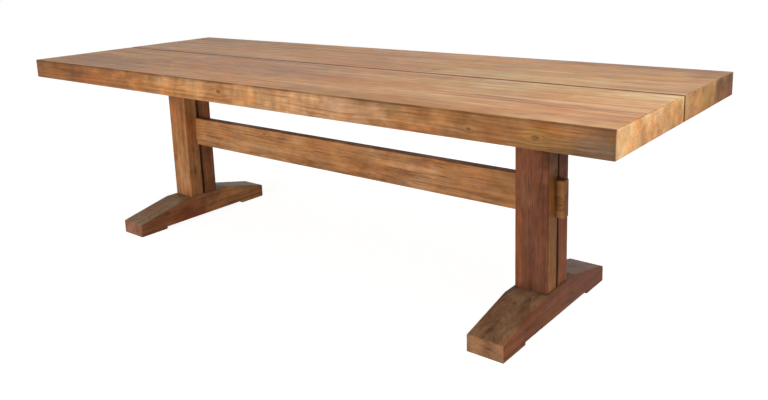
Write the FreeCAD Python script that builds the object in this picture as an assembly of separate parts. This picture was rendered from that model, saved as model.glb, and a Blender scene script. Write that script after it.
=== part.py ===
import FreeCAD, Part
import math
import os

# Trestle dining table in millimetres: +X along the top, -Y to the front, +Z up from the floor below its middle.

Vector = FreeCAD.Vector

# The top: two thick planks with an open joint between them
table_height = 780.0
top_length = 2700.0
plank_width = 482.0
plank_thickness = 78.0
plank_gap = 6.0
plank_round = 4.0

# The trestles: twin posts on one foot, under one bearer
top_overhang = 438.0
post_width = 116.0
post_depth = 68.5
post_gap = 7.0
post_round = 3.0

# The tenons at both ends of a post
tenon_shoulder = 16.0
tenon_chamfer = 3.0
foot_tenon_length = 66.0
bearer_tenon_length = 34.0

# The sled feet, which stand on a pad at each end
foot_length = 714.0
foot_past_post = 7.0
foot_middle_height = 108.0
foot_end_height = 57.0
foot_level_past_post = 53.0
foot_pad_length = 136.0
foot_relief = 10.0

# The bearers under the planks
bearer_length = 640.0
bearer_past_post = 7.0
bearer_middle_height = 54.0
bearer_end_height = 30.0
bearer_level_past_post = 58.0

# The batten under the middle of the top
batten_length = 560.0
batten_width = 90.0
batten_middle_height = 30.0
batten_end_height = 18.0
batten_slope_length = 30.0

# Rounding of the feet, bearers and batten
beam_arris_round = 3.0
beam_end_round = 5.0
beam_bend_round = 40.0

# The stretcher, on edge between the twin posts
stretcher_thickness = 38.0
stretcher_height = 126.0
stretcher_drop = 170.0
stretcher_stub = 28.0
stretcher_round = 3.0

# The dowels that pin the stretcher between the posts
dowel_diameter = 12.0
dowel_post_depth = 30.0
dowel_spacing = 70.0
dowel_chamfer = 1.0

# The wood screws and washers that hold the planks down
screw_diameter = 10.0
screw_head_flats = 17.0
screw_head_height = 7.0
screw_grip = 45.0
screw_tip = 9.0
washer_diameter = 30.0
washer_thickness = 2.5
bearer_seat_wood = 24.0
bearer_screw_from_post = 48.0
bearer_screw_from_end = 70.0
batten_seat_wood = 15.0
batten_screw_from_gap = 66.0
batten_screw_from_end = 60.0
slot_travel = 10.0

# Clearances of the joints
tenon_clearance = 0.2
tenon_end_gap = 2.0
notch_clearance = 0.2
dowel_clearance = 0.1
dowel_end_gap = 1.0
screw_clearance = 0.1
screw_hole_clearance = 0.5
screw_tip_gap = 3.0
washer_hole_clearance = 0.3
washer_pocket_clearance = 2.0

# Levels and places that follow from the sizes above
trestle_offset = top_length / 2 - top_overhang
top_underside = table_height - plank_thickness
bearer_underside = top_underside - bearer_middle_height
post_length = bearer_underside - foot_middle_height
post_inner_face = post_gap / 2
post_outer_face = post_inner_face + post_depth
post_centre = (post_inner_face + post_outer_face) / 2
tenon_width = post_width - 2 * tenon_shoulder
tenon_thickness = post_depth - 2 * tenon_shoulder
foot_width = post_width + 2 * foot_past_post
bearer_width = post_width + 2 * bearer_past_post
foot_flat_length = 2 * (post_outer_face + foot_level_past_post)
bearer_flat_length = 2 * (post_outer_face + bearer_level_past_post)
batten_flat_length = batten_length - 2 * batten_slope_length
stretcher_top = bearer_underside - stretcher_drop
stretcher_bottom = stretcher_top - stretcher_height
stretcher_face = stretcher_thickness / 2
stretcher_half_length = trestle_offset + post_width / 2 + stretcher_stub
plank_centre = (plank_gap + plank_width) / 2
bearer_screw_rows = (post_outer_face + bearer_screw_from_post, bearer_length / 2 - bearer_screw_from_end)
batten_screw_rows = (plank_gap / 2 + batten_screw_from_gap, batten_length / 2 - batten_screw_from_end)
trestles = {"left": -1, "right": 1}
rows = {"front": -1, "rear": 1}


def block(size_x, size_y, size_z, centre_x, centre_y, bottom_z):
    """A square-edged block, centred in plan on a point and standing on a level."""
    corner = Vector(centre_x - size_x / 2, centre_y - size_y / 2, bottom_z)
    return Part.makeBox(size_x, size_y, size_z, corner)


def edges_along(solid, direction):
    """The straight edges of a block that run along one axis."""
    found = []
    for edge in solid.Edges:
        run = edge.Vertexes[-1].Point - edge.Vertexes[0].Point
        if run.cross(direction).Length < 1e-6:
            found.append(edge)
    return found


def rounded_outline(corners):
    """A closed wire in the YZ plane through (y, z, radius) corners, each rounded by a tangent arc."""
    points = [Vector(0, y, z) for y, z, radius in corners]
    entries = []
    exits = []
    edges = []
    for index, (y, z, radius) in enumerate(corners):
        corner = points[index]
        to_last = (points[index - 1] - corner).normalize()
        to_next = (points[(index + 1) % len(points)] - corner).normalize()
        half_angle = to_last.getAngle(to_next) / 2
        trim = radius / math.tan(half_angle)
        inward = (to_last + to_next).normalize()
        crown = corner + inward * (radius / math.sin(half_angle) - radius)
        entries.append(corner + to_last * trim)
        exits.append(corner + to_next * trim)
        edges.append(Part.Arc(entries[index], crown, exits[index]).toShape())
    for index, start in enumerate(exits):
        end = entries[(index + 1) % len(points)]
        edges.append(Part.LineSegment(start, end).toShape())
    return Part.Wire(Part.__sortEdges__(edges))


def tapered_beam(length, flat_length, middle_height, end_height, width):
    """A beam along Y with a level underside at zero, a level middle and ends that slope down."""
    end = length / 2
    bend = flat_length / 2
    outline = rounded_outline([
        (-end, 0, beam_end_round),
        (end, 0, beam_end_round),
        (end, end_height, beam_end_round),
        (bend, middle_height, beam_bend_round),
        (-bend, middle_height, beam_bend_round),
        (-end, end_height, beam_end_round),
    ])
    beam = Part.Face(outline).extrude(Vector(width, 0, 0))
    beam.translate(Vector(-width / 2, 0, 0))
    arrises = [edge for edge in beam.Edges if abs(abs(edge.CenterOfMass.x) - width / 2) < 1e-6]
    return beam.makeFillet(beam_arris_round, arrises)


def hanging_beam(length, flat_length, middle_height, end_height, width, centre_x):
    """The same beam turned over, with its level face up against the planks."""
    beam = tapered_beam(length, flat_length, middle_height, end_height, width)
    beam.rotate(Vector(0, 0, 0), Vector(1, 0, 0), 180)
    beam.translate(Vector(centre_x, 0, top_underside))
    return beam


def slot(width, travel, depth, centre_x, centre_y, bottom_z):
    """A round-ended slot that runs along Y, across the grain of the planks."""
    middle = block(width, travel, depth, centre_x, centre_y, bottom_z)
    ends = []
    for side in (-1, 1):
        centre = Vector(centre_x, centre_y + side * travel / 2, bottom_z)
        ends.append(Part.makeCylinder(width / 2, depth, centre))
    return middle.fuse(ends).removeSplitter()


def screw_places(centre_x, screw_rows):
    """The screw centres under one bearer or batten, alike in both planks."""
    places = []
    for side in rows.values():
        for row in screw_rows:
            places.append((centre_x, side * row))
    return places


def screw(place, seat_wood):
    """A hexagon-head wood screw, up from its washer into the plank."""
    x, y = place
    washer_face = top_underside - seat_wood - washer_thickness
    shank_length = washer_thickness + seat_wood + screw_grip - screw_tip
    corner_radius = screw_head_flats / math.sqrt(3)
    hexagon = []
    for step in range(7):
        turn = math.radians(60 * step)
        bottom = washer_face - screw_head_height
        hexagon.append(Vector(x + corner_radius * math.cos(turn), y + corner_radius * math.sin(turn), bottom))
    head = Part.Face(Part.makePolygon(hexagon)).extrude(Vector(0, 0, screw_head_height))
    shank = Part.makeCylinder(screw_diameter / 2, shank_length, Vector(x, y, washer_face))
    tip = Part.makeCone(screw_diameter / 2, 0, screw_tip, Vector(x, y, washer_face + shank_length))
    return head.fuse([shank, tip]).removeSplitter()


def washer(place, seat_wood):
    """The wide washer between a screw head and the wood."""
    x, y = place
    bottom = Vector(x, y, top_underside - seat_wood - washer_thickness)
    disc = Part.makeCylinder(washer_diameter / 2, washer_thickness, bottom)
    hole = Part.makeCylinder(screw_diameter / 2 + washer_hole_clearance, washer_thickness, bottom)
    return disc.cut(hole)


def screw_slots(places, seat_wood, beam_height):
    """The cuts in a bearer or batten: a slotted hole for each screw and a pocket for its washer and head."""
    cuts = []
    hole_width = screw_diameter + 2 * screw_hole_clearance
    pocket_width = washer_diameter + 2 * washer_pocket_clearance
    pocket_depth = beam_height - seat_wood
    for x, y in places:
        cuts.append(slot(hole_width, slot_travel, seat_wood, x, y, top_underside - seat_wood))
        cuts.append(slot(pocket_width, slot_travel, pocket_depth, x, y, top_underside - beam_height))
    return cuts


def dowel_levels():
    """The heights of the dowels in each pair of posts."""
    middle = (stretcher_top + stretcher_bottom) / 2
    return (middle - dowel_spacing / 2, middle + dowel_spacing / 2)


def dowel_hole(centre_x, level):
    """The blind hole through the stretcher and into both posts."""
    reach = stretcher_face + dowel_post_depth + dowel_end_gap
    start = Vector(centre_x, -reach, level)
    return Part.makeCylinder(dowel_diameter / 2 + dowel_clearance, 2 * reach, start, Vector(0, 1, 0))


def dowel(centre_x, level):
    """One dowel, with chamfered ends."""
    reach = stretcher_face + dowel_post_depth
    start = Vector(centre_x, -reach, level)
    pin = Part.makeCylinder(dowel_diameter / 2, 2 * reach, start, Vector(0, 1, 0))
    rims = [edge for edge in pin.Edges if abs(abs(edge.CenterOfMass.y) - reach) < 1e-6]
    return pin.makeChamfer(dowel_chamfer, rims)


def tenon(length, centre_x, centre_y, bottom_z, tip_z):
    """A tenon with its tip chamfered all round."""
    body = block(tenon_width, tenon_thickness, length, centre_x, centre_y, bottom_z)
    rim = [edge for edge in body.Edges if abs(edge.CenterOfMass.z - tip_z) < 1e-6]
    return body.makeChamfer(tenon_chamfer, rim)


def mortise(length, centre_x, centre_y, bottom_z):
    """The mortise that takes a tenon, with room for glue."""
    width = tenon_width + 2 * tenon_clearance
    thickness = tenon_thickness + 2 * tenon_clearance
    return block(width, thickness, length, centre_x, centre_y, bottom_z)


def post(centre_x, row):
    """One post with a tenon at each end and the notch that takes the stretcher."""
    centre_y = row * post_centre
    body = block(post_width, post_depth, post_length, centre_x, centre_y, foot_middle_height)
    body = body.makeFillet(post_round, edges_along(body, Vector(0, 0, 1)))
    foot_tip = foot_middle_height - foot_tenon_length
    bearer_tip = bearer_underside + bearer_tenon_length
    lower = tenon(foot_tenon_length, centre_x, centre_y, foot_tip, foot_tip)
    upper = tenon(bearer_tenon_length, centre_x, centre_y, bearer_underside, bearer_tip)
    notch_depth = stretcher_thickness + 2 * notch_clearance
    notch_height = stretcher_height + notch_clearance
    cuts = [block(post_width, notch_depth, notch_height, centre_x, 0, stretcher_bottom)]
    cuts += [dowel_hole(centre_x, level) for level in dowel_levels()]
    return body.fuse([lower, upper]).removeSplitter().cut(cuts)


def foot(centre_x):
    """A sled foot with its two mortises and the relief between its pads."""
    beam = tapered_beam(foot_length, foot_flat_length, foot_middle_height, foot_end_height, foot_width)
    beam.translate(Vector(centre_x, 0, 0))
    depth = foot_tenon_length + tenon_end_gap
    cuts = [block(foot_width, foot_length - 2 * foot_pad_length, foot_relief, centre_x, 0, 0)]
    for row in rows.values():
        cuts.append(mortise(depth, centre_x, row * post_centre, foot_middle_height - depth))
    return beam.cut(cuts)


def bearer(centre_x):
    """A bearer with its two mortises and its screw slots."""
    beam = hanging_beam(
        bearer_length, bearer_flat_length, bearer_middle_height, bearer_end_height, bearer_width, centre_x
    )
    depth = bearer_tenon_length + tenon_end_gap
    cuts = [mortise(depth, centre_x, row * post_centre, bearer_underside) for row in rows.values()]
    places = screw_places(centre_x, bearer_screw_rows)
    return beam.cut(cuts + screw_slots(places, bearer_seat_wood, bearer_middle_height))


def centre_batten():
    """The batten with its screw slots."""
    beam = hanging_beam(batten_length, batten_flat_length, batten_middle_height, batten_end_height, batten_width, 0)
    places = screw_places(0, batten_screw_rows)
    return beam.cut(screw_slots(places, batten_seat_wood, batten_middle_height))


def plank(row):
    """One plank of the top, with the blind pilot holes for its screws."""
    body = block(top_length, plank_width, plank_thickness, 0, row * plank_centre, top_underside)
    body = body.makeFillet(plank_round, body.Edges)
    places = screw_places(0, batten_screw_rows)
    for side in trestles.values():
        places += screw_places(side * trestle_offset, bearer_screw_rows)
    holes = []
    for x, y in places:
        if y * row > 0:
            bottom = Vector(x, y, top_underside)
            holes.append(Part.makeCylinder(screw_diameter / 2 + screw_clearance, screw_grip + screw_tip_gap, bottom))
    return body.cut(holes)


def stretcher():
    """The board between the trestles, with its dowel holes."""
    length = 2 * stretcher_half_length
    board = block(length, stretcher_thickness, stretcher_height, 0, 0, stretcher_bottom)
    board = board.makeFillet(stretcher_round, board.Edges)
    holes = []
    for side in trestles.values():
        holes += [dowel_hole(side * trestle_offset, level) for level in dowel_levels()]
    return board.cut(holes)


def save(name, shape):
    """Writes one piece, or one group of like pieces, as its own file."""
    shape.exportStep("parts/" + name + ".step")


def main():
    """Builds and writes every piece."""
    os.makedirs("parts", exist_ok=True)
    for row_name, row in rows.items():
        save("top_plank_" + row_name, plank(row))
    for side_name, side in trestles.items():
        centre_x = side * trestle_offset
        places = screw_places(centre_x, bearer_screw_rows)
        save("foot_" + side_name, foot(centre_x))
        save("bearer_" + side_name, bearer(centre_x))
        for row_name, row in rows.items():
            save("post_" + side_name + "_" + row_name, post(centre_x, row))
        save("stretcher_dowels_" + side_name, Part.Compound([dowel(centre_x, level) for level in dowel_levels()]))
        save("bearer_screws_" + side_name, Part.Compound([screw(place, bearer_seat_wood) for place in places]))
        save("bearer_washers_" + side_name, Part.Compound([washer(place, bearer_seat_wood) for place in places]))
    save("stretcher", stretcher())
    save("centre_batten", centre_batten())
    places = screw_places(0, batten_screw_rows)
    save("batten_screws", Part.Compound([screw(place, batten_seat_wood) for place in places]))
    save("batten_washers", Part.Compound([washer(place, batten_seat_wood) for place in places]))


main()
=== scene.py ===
import itertools
import math
import random

import bmesh
import bpy
from bpy.props import FloatProperty, FloatVectorProperty, IntProperty, PointerProperty
from mathutils import Color, Matrix, Vector, noise


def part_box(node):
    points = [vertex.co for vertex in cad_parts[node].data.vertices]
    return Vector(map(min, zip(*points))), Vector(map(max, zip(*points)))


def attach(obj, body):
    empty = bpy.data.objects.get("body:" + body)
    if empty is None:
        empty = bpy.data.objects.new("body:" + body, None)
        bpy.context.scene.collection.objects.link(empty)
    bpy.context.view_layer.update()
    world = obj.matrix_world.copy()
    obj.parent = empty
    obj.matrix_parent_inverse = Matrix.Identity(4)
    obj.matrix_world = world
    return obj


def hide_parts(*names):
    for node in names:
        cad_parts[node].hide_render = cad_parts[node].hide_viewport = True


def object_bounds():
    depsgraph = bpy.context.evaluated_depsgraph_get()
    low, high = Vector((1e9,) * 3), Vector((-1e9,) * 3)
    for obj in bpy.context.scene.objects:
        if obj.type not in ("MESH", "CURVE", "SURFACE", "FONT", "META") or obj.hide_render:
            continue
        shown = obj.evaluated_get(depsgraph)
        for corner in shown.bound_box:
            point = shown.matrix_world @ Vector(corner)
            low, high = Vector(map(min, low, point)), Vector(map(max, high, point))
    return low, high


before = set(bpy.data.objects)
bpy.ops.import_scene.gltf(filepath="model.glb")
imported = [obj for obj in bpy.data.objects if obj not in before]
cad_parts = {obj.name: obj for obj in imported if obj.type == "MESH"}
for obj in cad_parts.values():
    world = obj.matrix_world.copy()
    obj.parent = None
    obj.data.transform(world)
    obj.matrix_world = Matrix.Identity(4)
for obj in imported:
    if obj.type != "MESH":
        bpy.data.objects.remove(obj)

bl_info = {
    "name": "Trestle dining table",
    "version": (1, 0, 0),
    "blender": (4, 5, 0),
    "location": "View3D > Sidebar > Table",
    "description": "Worn timbers in old oiled wood, and a plain studio, for a plank-topped trestle table",
    "category": "Object",
}

cad_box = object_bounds()
X = Vector((1.0, 0.0, 0.0))
Y = Vector((0.0, 1.0, 0.0))
Z = Vector((0.0, 0.0, 1.0))
AXES = {"X": X, "Y": Y, "Z": Z}
SIDES = {"left": -1, "right": 1}
ROWS = {"front": -1, "rear": 1}
PHOTO_WIDTH = 768
PHOTO_HEIGHT = 400

# Each group of pieces has its own run of seeds for wear and grain.
SEEDS = {"plank": 1, "stretcher": 5, "post": 11, "foot": 21, "bearer": 31, "dowel": 41, "steel": 51}


def tone(red, green, blue):
    """A screen colour, each part from 0 to 255, as the linear colour that shaders take."""
    return Color((red / 255, green / 255, blue / 255)).from_srgb_to_scene_linear()[:]


def length_property(name, default, description):
    """A length in metres."""
    return FloatProperty(
        name=name, description=description, default=default, min=0, unit="LENGTH", precision=4
    )


def angle_property(name, degrees, description):
    """An angle, given in degrees."""
    return FloatProperty(
        name=name, description=description, default=math.radians(degrees), subtype="ANGLE"
    )


def tone_property(name, default, description):
    """A surface colour."""
    return FloatVectorProperty(
        name=name, description=description, default=default, subtype="COLOR", min=0, max=1
    )


WOOD_TONES = {
    "Dark": "Late wood and streaks",
    "Mid": "Main colour",
    "Light": "Early wood",
    "Warm": "Orange patches",
}


def wood_tone(name, *screen):
    """One of the four colours of a wood."""
    return tone_property(name, tone(*screen), WOOD_TONES[name])


class TimberSettings(bpy.types.PropertyGroup):
    """Sizes of the timbers and of their wear."""

    grid: length_property("Grid", 0.009, "Spacing of the mesh lines that the wear moves")
    plank_round: length_property("Plank arris", 0.0028, "Rounding of the planks' edges")
    beam_round: length_property("Beam arris", 0.003, "Rounding of posts, feet and stretcher")
    arris_wear: length_property("Arris wear", 0.0022, "Most that wear takes off an edge")
    face_hollow: length_property("Face hollow", 0.0006, "Depth of the hollows left by planing")
    check_width: length_property("Check width", 0.0016, "Width of a drying check at its widest")
    check_depth: length_property("Check depth", 0.005, "Depth of a drying check at its deepest")
    plank_checks: IntProperty(
        name="Plank checks", description="Drying checks in a plank's upper face", default=9
    )
    board_checks: IntProperty(
        name="Stretcher checks", description="Drying checks in each of its sides", default=4
    )
    tenon_shoulder: length_property("Tenon shoulder", 0.016, "Wood left round each tenon of a post")
    fit: length_property("Fit", 0.0002, "Room round tenons and in the posts' notches")
    mortise_gap: length_property("Mortise gap", 0.002, "Room past the end of a tenon")
    foot_end_height: length_property("Foot end", 0.057, "Height of a foot at its blunt ends")
    foot_level: length_property("Foot level", 0.250, "Length of the level part of a foot")
    foot_pad: length_property("Foot pad", 0.136, "Length of the pad at each end of a foot")
    foot_relief: length_property("Foot relief", 0.010, "Gap under a foot between its pads")


class PlankTones(bpy.types.PropertyGroup):
    """Colours of the planks of the top."""

    dark: wood_tone("Dark", 146, 96, 58)
    mid: wood_tone("Mid", 185, 135, 90)
    light: wood_tone("Light", 204, 158, 112)
    warm: wood_tone("Warm", 192, 124, 68)


class StretcherTones(bpy.types.PropertyGroup):
    """Colours of the stretcher."""

    dark: wood_tone("Dark", 150, 98, 58)
    mid: wood_tone("Mid", 190, 135, 87)
    light: wood_tone("Light", 198, 148, 100)
    warm: wood_tone("Warm", 186, 121, 74)


class PaleBeamTones(bpy.types.PropertyGroup):
    """Colours of the lighter posts."""

    dark: wood_tone("Dark", 128, 80, 48)
    mid: wood_tone("Mid", 186, 128, 78)
    light: wood_tone("Light", 196, 146, 100)
    warm: wood_tone("Warm", 182, 110, 60)


class RedBeamTones(bpy.types.PropertyGroup):
    """Colours of the darker, redder wood of the right-hand posts."""

    dark: wood_tone("Dark", 104, 62, 43)
    mid: wood_tone("Mid", 128, 80, 57)
    light: wood_tone("Light", 148, 97, 68)
    warm: wood_tone("Warm", 130, 76, 52)


class FootTones(bpy.types.PropertyGroup):
    """Colours of the feet and bearers."""

    dark: wood_tone("Dark", 104, 66, 44)
    mid: wood_tone("Mid", 160, 110, 77)
    light: wood_tone("Light", 178, 130, 92)
    warm: wood_tone("Warm", 160, 94, 60)


class FittingTones(bpy.types.PropertyGroup):
    """Colours of the dowels, screws and washers."""

    dowel: tone_property("Dowel", tone(196, 160, 118), "Plain turned wood")
    steel: tone_property("Steel", tone(168, 168, 166), "Zinc-plated steel")
    dull: tone_property("Dull steel", tone(122, 120, 114), "Steel where the plating has dulled")


class StageSettings(bpy.types.PropertyGroup):
    """Camera, floor and lights."""

    eye: FloatVectorProperty(
        name="Eye", description="Where the camera stands", default=(2.018, -2.1487, 1.1955),
        subtype="XYZ", unit="LENGTH",
    )
    heading: angle_property("Heading", 39.218, "Turn of the camera to the left of +Y")
    pitch: angle_property("Pitch", 11.583, "How far the camera looks down")
    roll: angle_property("Roll", 1.927, "Lean of the camera to the right")
    focal_pixels: FloatProperty(name="Focal length", description="In pixels of the picture", default=763.1)
    axis_row: FloatProperty(name="Axis row", description="Picture row that the lens points at", default=110)
    floor: tone_property("Floor", (0.8, 0.8, 0.8), "Pale floor, as it throws light back")
    ambient: FloatProperty(name="Ambient", description="Light from all round", default=0.25)
    key: FloatProperty(name="Key", description="Soft light from the right", default=110.0, unit="POWER")
    fill: FloatProperty(name="Fill", description="Soft light from the front", default=95.0, unit="POWER")


# Nearer places are the same, on a face and on a row of the grid.
TOUCH = 1e-5
ROW_TOUCH = 1e-4
# Directions with a larger cosine are the same, and those of faces that seat.
SAME_WAY = 0.99
SEAT_WAY = 0.95
# Share of an edge that makes it run along an axis.
MAIN_SHARE = 0.7
# Turns past which an edge is an arris, and is shaded sharp.
ARRIS_TURN = 0.7
SHARP_TURN = math.radians(38)


def timber_block(low, high):
    """A square-edged block between two corners."""
    bm = bmesh.new()
    bmesh.ops.create_cube(bm, size=1.0)
    bmesh.ops.scale(bm, vec=high - low, verts=bm.verts)
    bmesh.ops.translate(bm, vec=(low + high) / 2, verts=bm.verts)
    return bm


def timber_from_outline(outline, start, width):
    """A timber with an outline of (y, z) corners, extruded along X from a start."""
    bm = bmesh.new()
    face = bm.faces.new([bm.verts.new((start, y, z)) for y, z in outline])
    made = bmesh.ops.extrude_face_region(bm, geom=[face], use_keep_orig=True)
    bmesh.ops.translate(bm, vec=X * width, verts=corners_of(made))
    bmesh.ops.recalc_face_normals(bm, faces=bm.faces)
    return bm


def corners_of(made):
    """The vertices that an operator has made."""
    return [item for item in made["geom"] if isinstance(item, bmesh.types.BMVert)]


def slice_at(bm, axis, places):
    """Cuts lines right round a timber, square to an axis."""
    for place in places:
        geometry = bm.verts[:] + bm.edges[:] + bm.faces[:]
        bmesh.ops.bisect_plane(bm, geom=geometry, dist=1e-6, plane_co=axis * place, plane_no=axis)


def push(bm, faces, move):
    """Extrudes a group of faces, out of the timber or into it."""
    made = bmesh.ops.extrude_face_region(bm, geom=faces)
    bmesh.ops.delete(bm, geom=faces, context="FACES")
    bmesh.ops.translate(bm, vec=move, verts=corners_of(made))


def faces_between(bm, low, high):
    """The faces that have their middles between two corners."""
    middles = [(face, face.calc_center_median()) for face in bm.faces]
    return [face for face, at in middles if all(low[i] < at[i] < high[i] for i in range(3))]


def refine(bm, spacing, rise=None):
    """Divides long edges evenly, one direction at a time, so that faces stay four-sided.
    Where rise is given, it is the number of cuts in each upright edge longer than two spacings."""
    for axis in (X, Y, Z):
        alike = {}
        for edge in bm.edges:
            run = abs((edge.verts[1].co - edge.verts[0].co).dot(axis))
            if run > MAIN_SHARE * edge.calc_length():
                cuts = round(run / spacing) - 1
                if rise is not None and axis == Z:
                    cuts = rise if run > 2 * spacing else 0
                alike.setdefault(cuts, []).append(edge)
        for cuts, edges in alike.items():
            if cuts > 0:
                bmesh.ops.subdivide_edges(bm, edges=edges, cuts=cuts)


def arrises(bm):
    """The outer edges of a timber."""
    return [edge for edge in bm.edges if edge.is_convex and edge.calc_face_angle(0.0) > ARRIS_TURN]


def ease(bm, edges, radius, segments=4):
    """Rounds a set of edges."""
    return bmesh.ops.bevel(
        bm, geom=edges, offset=radius, offset_type="OFFSET", segments=segments, profile=0.5,
        affect="EDGES", material=-1,
    )


def vertex_layer(bm, name):
    """The layer of numbers with a name, on the vertices of a timber."""
    return bm.verts.layers.float.get(name) or bm.verts.layers.float.new(name)


# Drying checks: lengths, distance from the ends, shares of full size, rows kept clear.
CHECK_RUN = (0.06, 0.30)
CHECK_MARGIN = 0.03
CHECK_SIZE = (0.45, 1.0)
CLEAR_ROWS = 3
# Their ends: how far past them vertices count, and the power that blunts the taper.
CHECK_PAST = 0.2
CHECK_BLUNT = 0.6
# Share of the width that is the bottom of the groove.
CHECK_BOTTOM = 0.125
# How they wander: share of the grid, and scales along and across the grain.
WANDER = (0.35, 14, 31)


def open_checks(bm, seed, count, normal, grain, low, high, settings):
    """Opens drying checks along the grain of one face: narrow grooves, deepest in their middles."""
    chance = random.Random(seed)
    across = normal.cross(grain)
    opened = vertex_layer(bm, "check")
    level = max(normal.dot(low), normal.dot(high))
    on_face = []
    for edge in bm.edges:
        ends = [vert.co for vert in edge.verts]
        run = ends[1] - ends[0]
        flat = all(abs(normal.dot(end) - level) < TOUCH for end in ends)
        if flat and abs(run.dot(grain)) > max(SAME_WAY * run.length, MAIN_SHARE * settings.grid):
            on_face.append(edge)
    rows = sorted({round(edge.verts[0].co.dot(across), 4) for edge in on_face})
    rows = rows[CLEAR_ROWS:-CLEAR_ROWS]
    span = sorted((low.dot(grain), high.dot(grain)))
    checks = []
    for row in chance.sample(rows, min(count, len(rows))):
        run = chance.uniform(*CHECK_RUN)
        start = chance.uniform(span[0] + CHECK_MARGIN, span[1] - CHECK_MARGIN - run)
        checks.append((row, start, run, chance.uniform(*CHECK_SIZE)))
    chain = []
    for row, start, run, _ in checks:
        for edge in on_face:
            middle = (edge.verts[0].co + edge.verts[1].co) / 2
            if abs(middle.dot(across) - row) < ROW_TOUCH and start < middle.dot(grain) < start + run:
                chain.append(edge)
    made = ease(bm, chain, settings.check_width / 2, segments=2)
    for vert in {vert for face in made["faces"] for vert in face.verts}:
        for row, start, run, size in checks:
            along = vert.co.dot(grain)
            aside = vert.co.dot(across) - row
            share = (along - start) / run
            if abs(aside) < settings.check_width and -CHECK_PAST < share < 1 + CHECK_PAST:
                taper = size * math.sin(math.pi * min(max(share, 0.0), 1.0)) ** CHECK_BLUNT
                swing = noise.noise(Vector((along * WANDER[1], row * WANDER[2], seed)))
                vert.co += across * (aside * (taper - 1) + settings.grid * WANDER[0] * swing)
                if abs(aside) < settings.check_width * CHECK_BOTTOM:
                    vert.co -= normal * settings.check_depth * taper
                    vert[opened] = taper


# Rubbed and chipped patches: scale of their noise, what is added to it, and their strength.
RUB = (5, 0.35, 0.5)
CHIP = (38, -0.25, 1.6)
# Scales of the noise that dirt and painted shade follow and that hollows follow, and the shift from one
# seed to the next.
DIRT_AND_SHADE_SCALE = 11
HOLLOW_ACROSS = 8
HOLLOW_ALONG = 1.7
WEAR_SHIFT = Vector((7.3, 3.1, 5.7))


def patches_at(place, scale, more, strength):
    """Wear in patches: what the noise at a place leaves above nought."""
    return max(0.0, noise.noise(place * scale) + more) * strength


def weather(bm, grain, seed, settings, dirt_and_shade_at, kept=()):
    """Takes a little wood off: long hollows on the faces, uneven wear along the arrises.
    dirt_and_shade_at gives the dirt that has settled at a place, together with painted shade.
    Faces that look along a kept direction stay flat, because they seat on something."""
    bm.normal_update()
    worn, check, dirt_and_shade = (vertex_layer(bm, name) for name in ("worn", "check", "dirt_and_shade"))
    moves = []
    for vert in bm.verts:
        place = vert.co + WEAR_SHIFT * seed
        arris = sorted(abs(part) for part in vert.normal)[1] * math.sqrt(2)
        rub = patches_at(place, *RUB)
        chip = patches_at(place, *CHIP)
        vert[worn] = min(1.0, arris * (0.5 + rub + chip))
        uneven = 0.75 + 0.5 * noise.noise(place * DIRT_AND_SHADE_SCALE)
        vert[dirt_and_shade] = min(max(dirt_and_shade_at(vert.co), 0.0), 1.0) * uneven
        if any(vert.normal.dot(direction) > SEAT_WAY for direction in kept):
            continue
        along = grain * place.dot(grain)
        hollow = noise.noise((place - along) * HOLLOW_ACROSS + along * HOLLOW_ALONG)
        depth = settings.face_hollow * (0.5 + 0.5 * hollow)
        if vert[check] == 0:
            depth += settings.arris_wear * arris ** 2 * (rub + chip)
        moves.append((vert, vert.normal * depth))
    for vert, move in moves:
        vert.co -= move


def dirt_and_shade_falloff(distance, dark_spread):
    """The dirt, and painted shade, at a distance from where it is darkest, for a (most, reach) of it."""
    most, reach = dark_spread
    return most * (1.0 - abs(distance) / reach)


def dirt_and_shade_along(*planes):
    """Dirt, and painted shade, along (axis, place, dark_spread) planes."""
    return lambda point: max(dirt_and_shade_falloff(point.dot(axis) - place, dark_spread) for axis, place, dark_spread in planes)


def make_piece(name, bm, material, node):
    """Turns a finished bmesh into a piece that stands for a CAD node."""
    mesh = bpy.data.meshes.new(name)
    bm.to_mesh(mesh)
    bm.free()
    mesh.shade_smooth()
    mesh.set_sharp_from_angle(angle=SHARP_TURN)
    mesh.materials.append(material)
    piece = bpy.data.objects.new(name, mesh)
    bpy.context.scene.collection.objects.link(piece)
    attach(piece, "root")
    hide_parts(node)


def dress_node(node, material):
    """Gives a CAD node that keeps its own shape a finish."""
    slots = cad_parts[node].material_slots
    if not slots:
        raise RuntimeError(f"{node} has no material slot to fill")
    for slot in slots:
        slot.material = material


def as_colour(value):
    """A colour with its alpha, or a socket as it is."""
    return value if isinstance(value, bpy.types.NodeSocket) else (*value[:3], 1.0)


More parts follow.
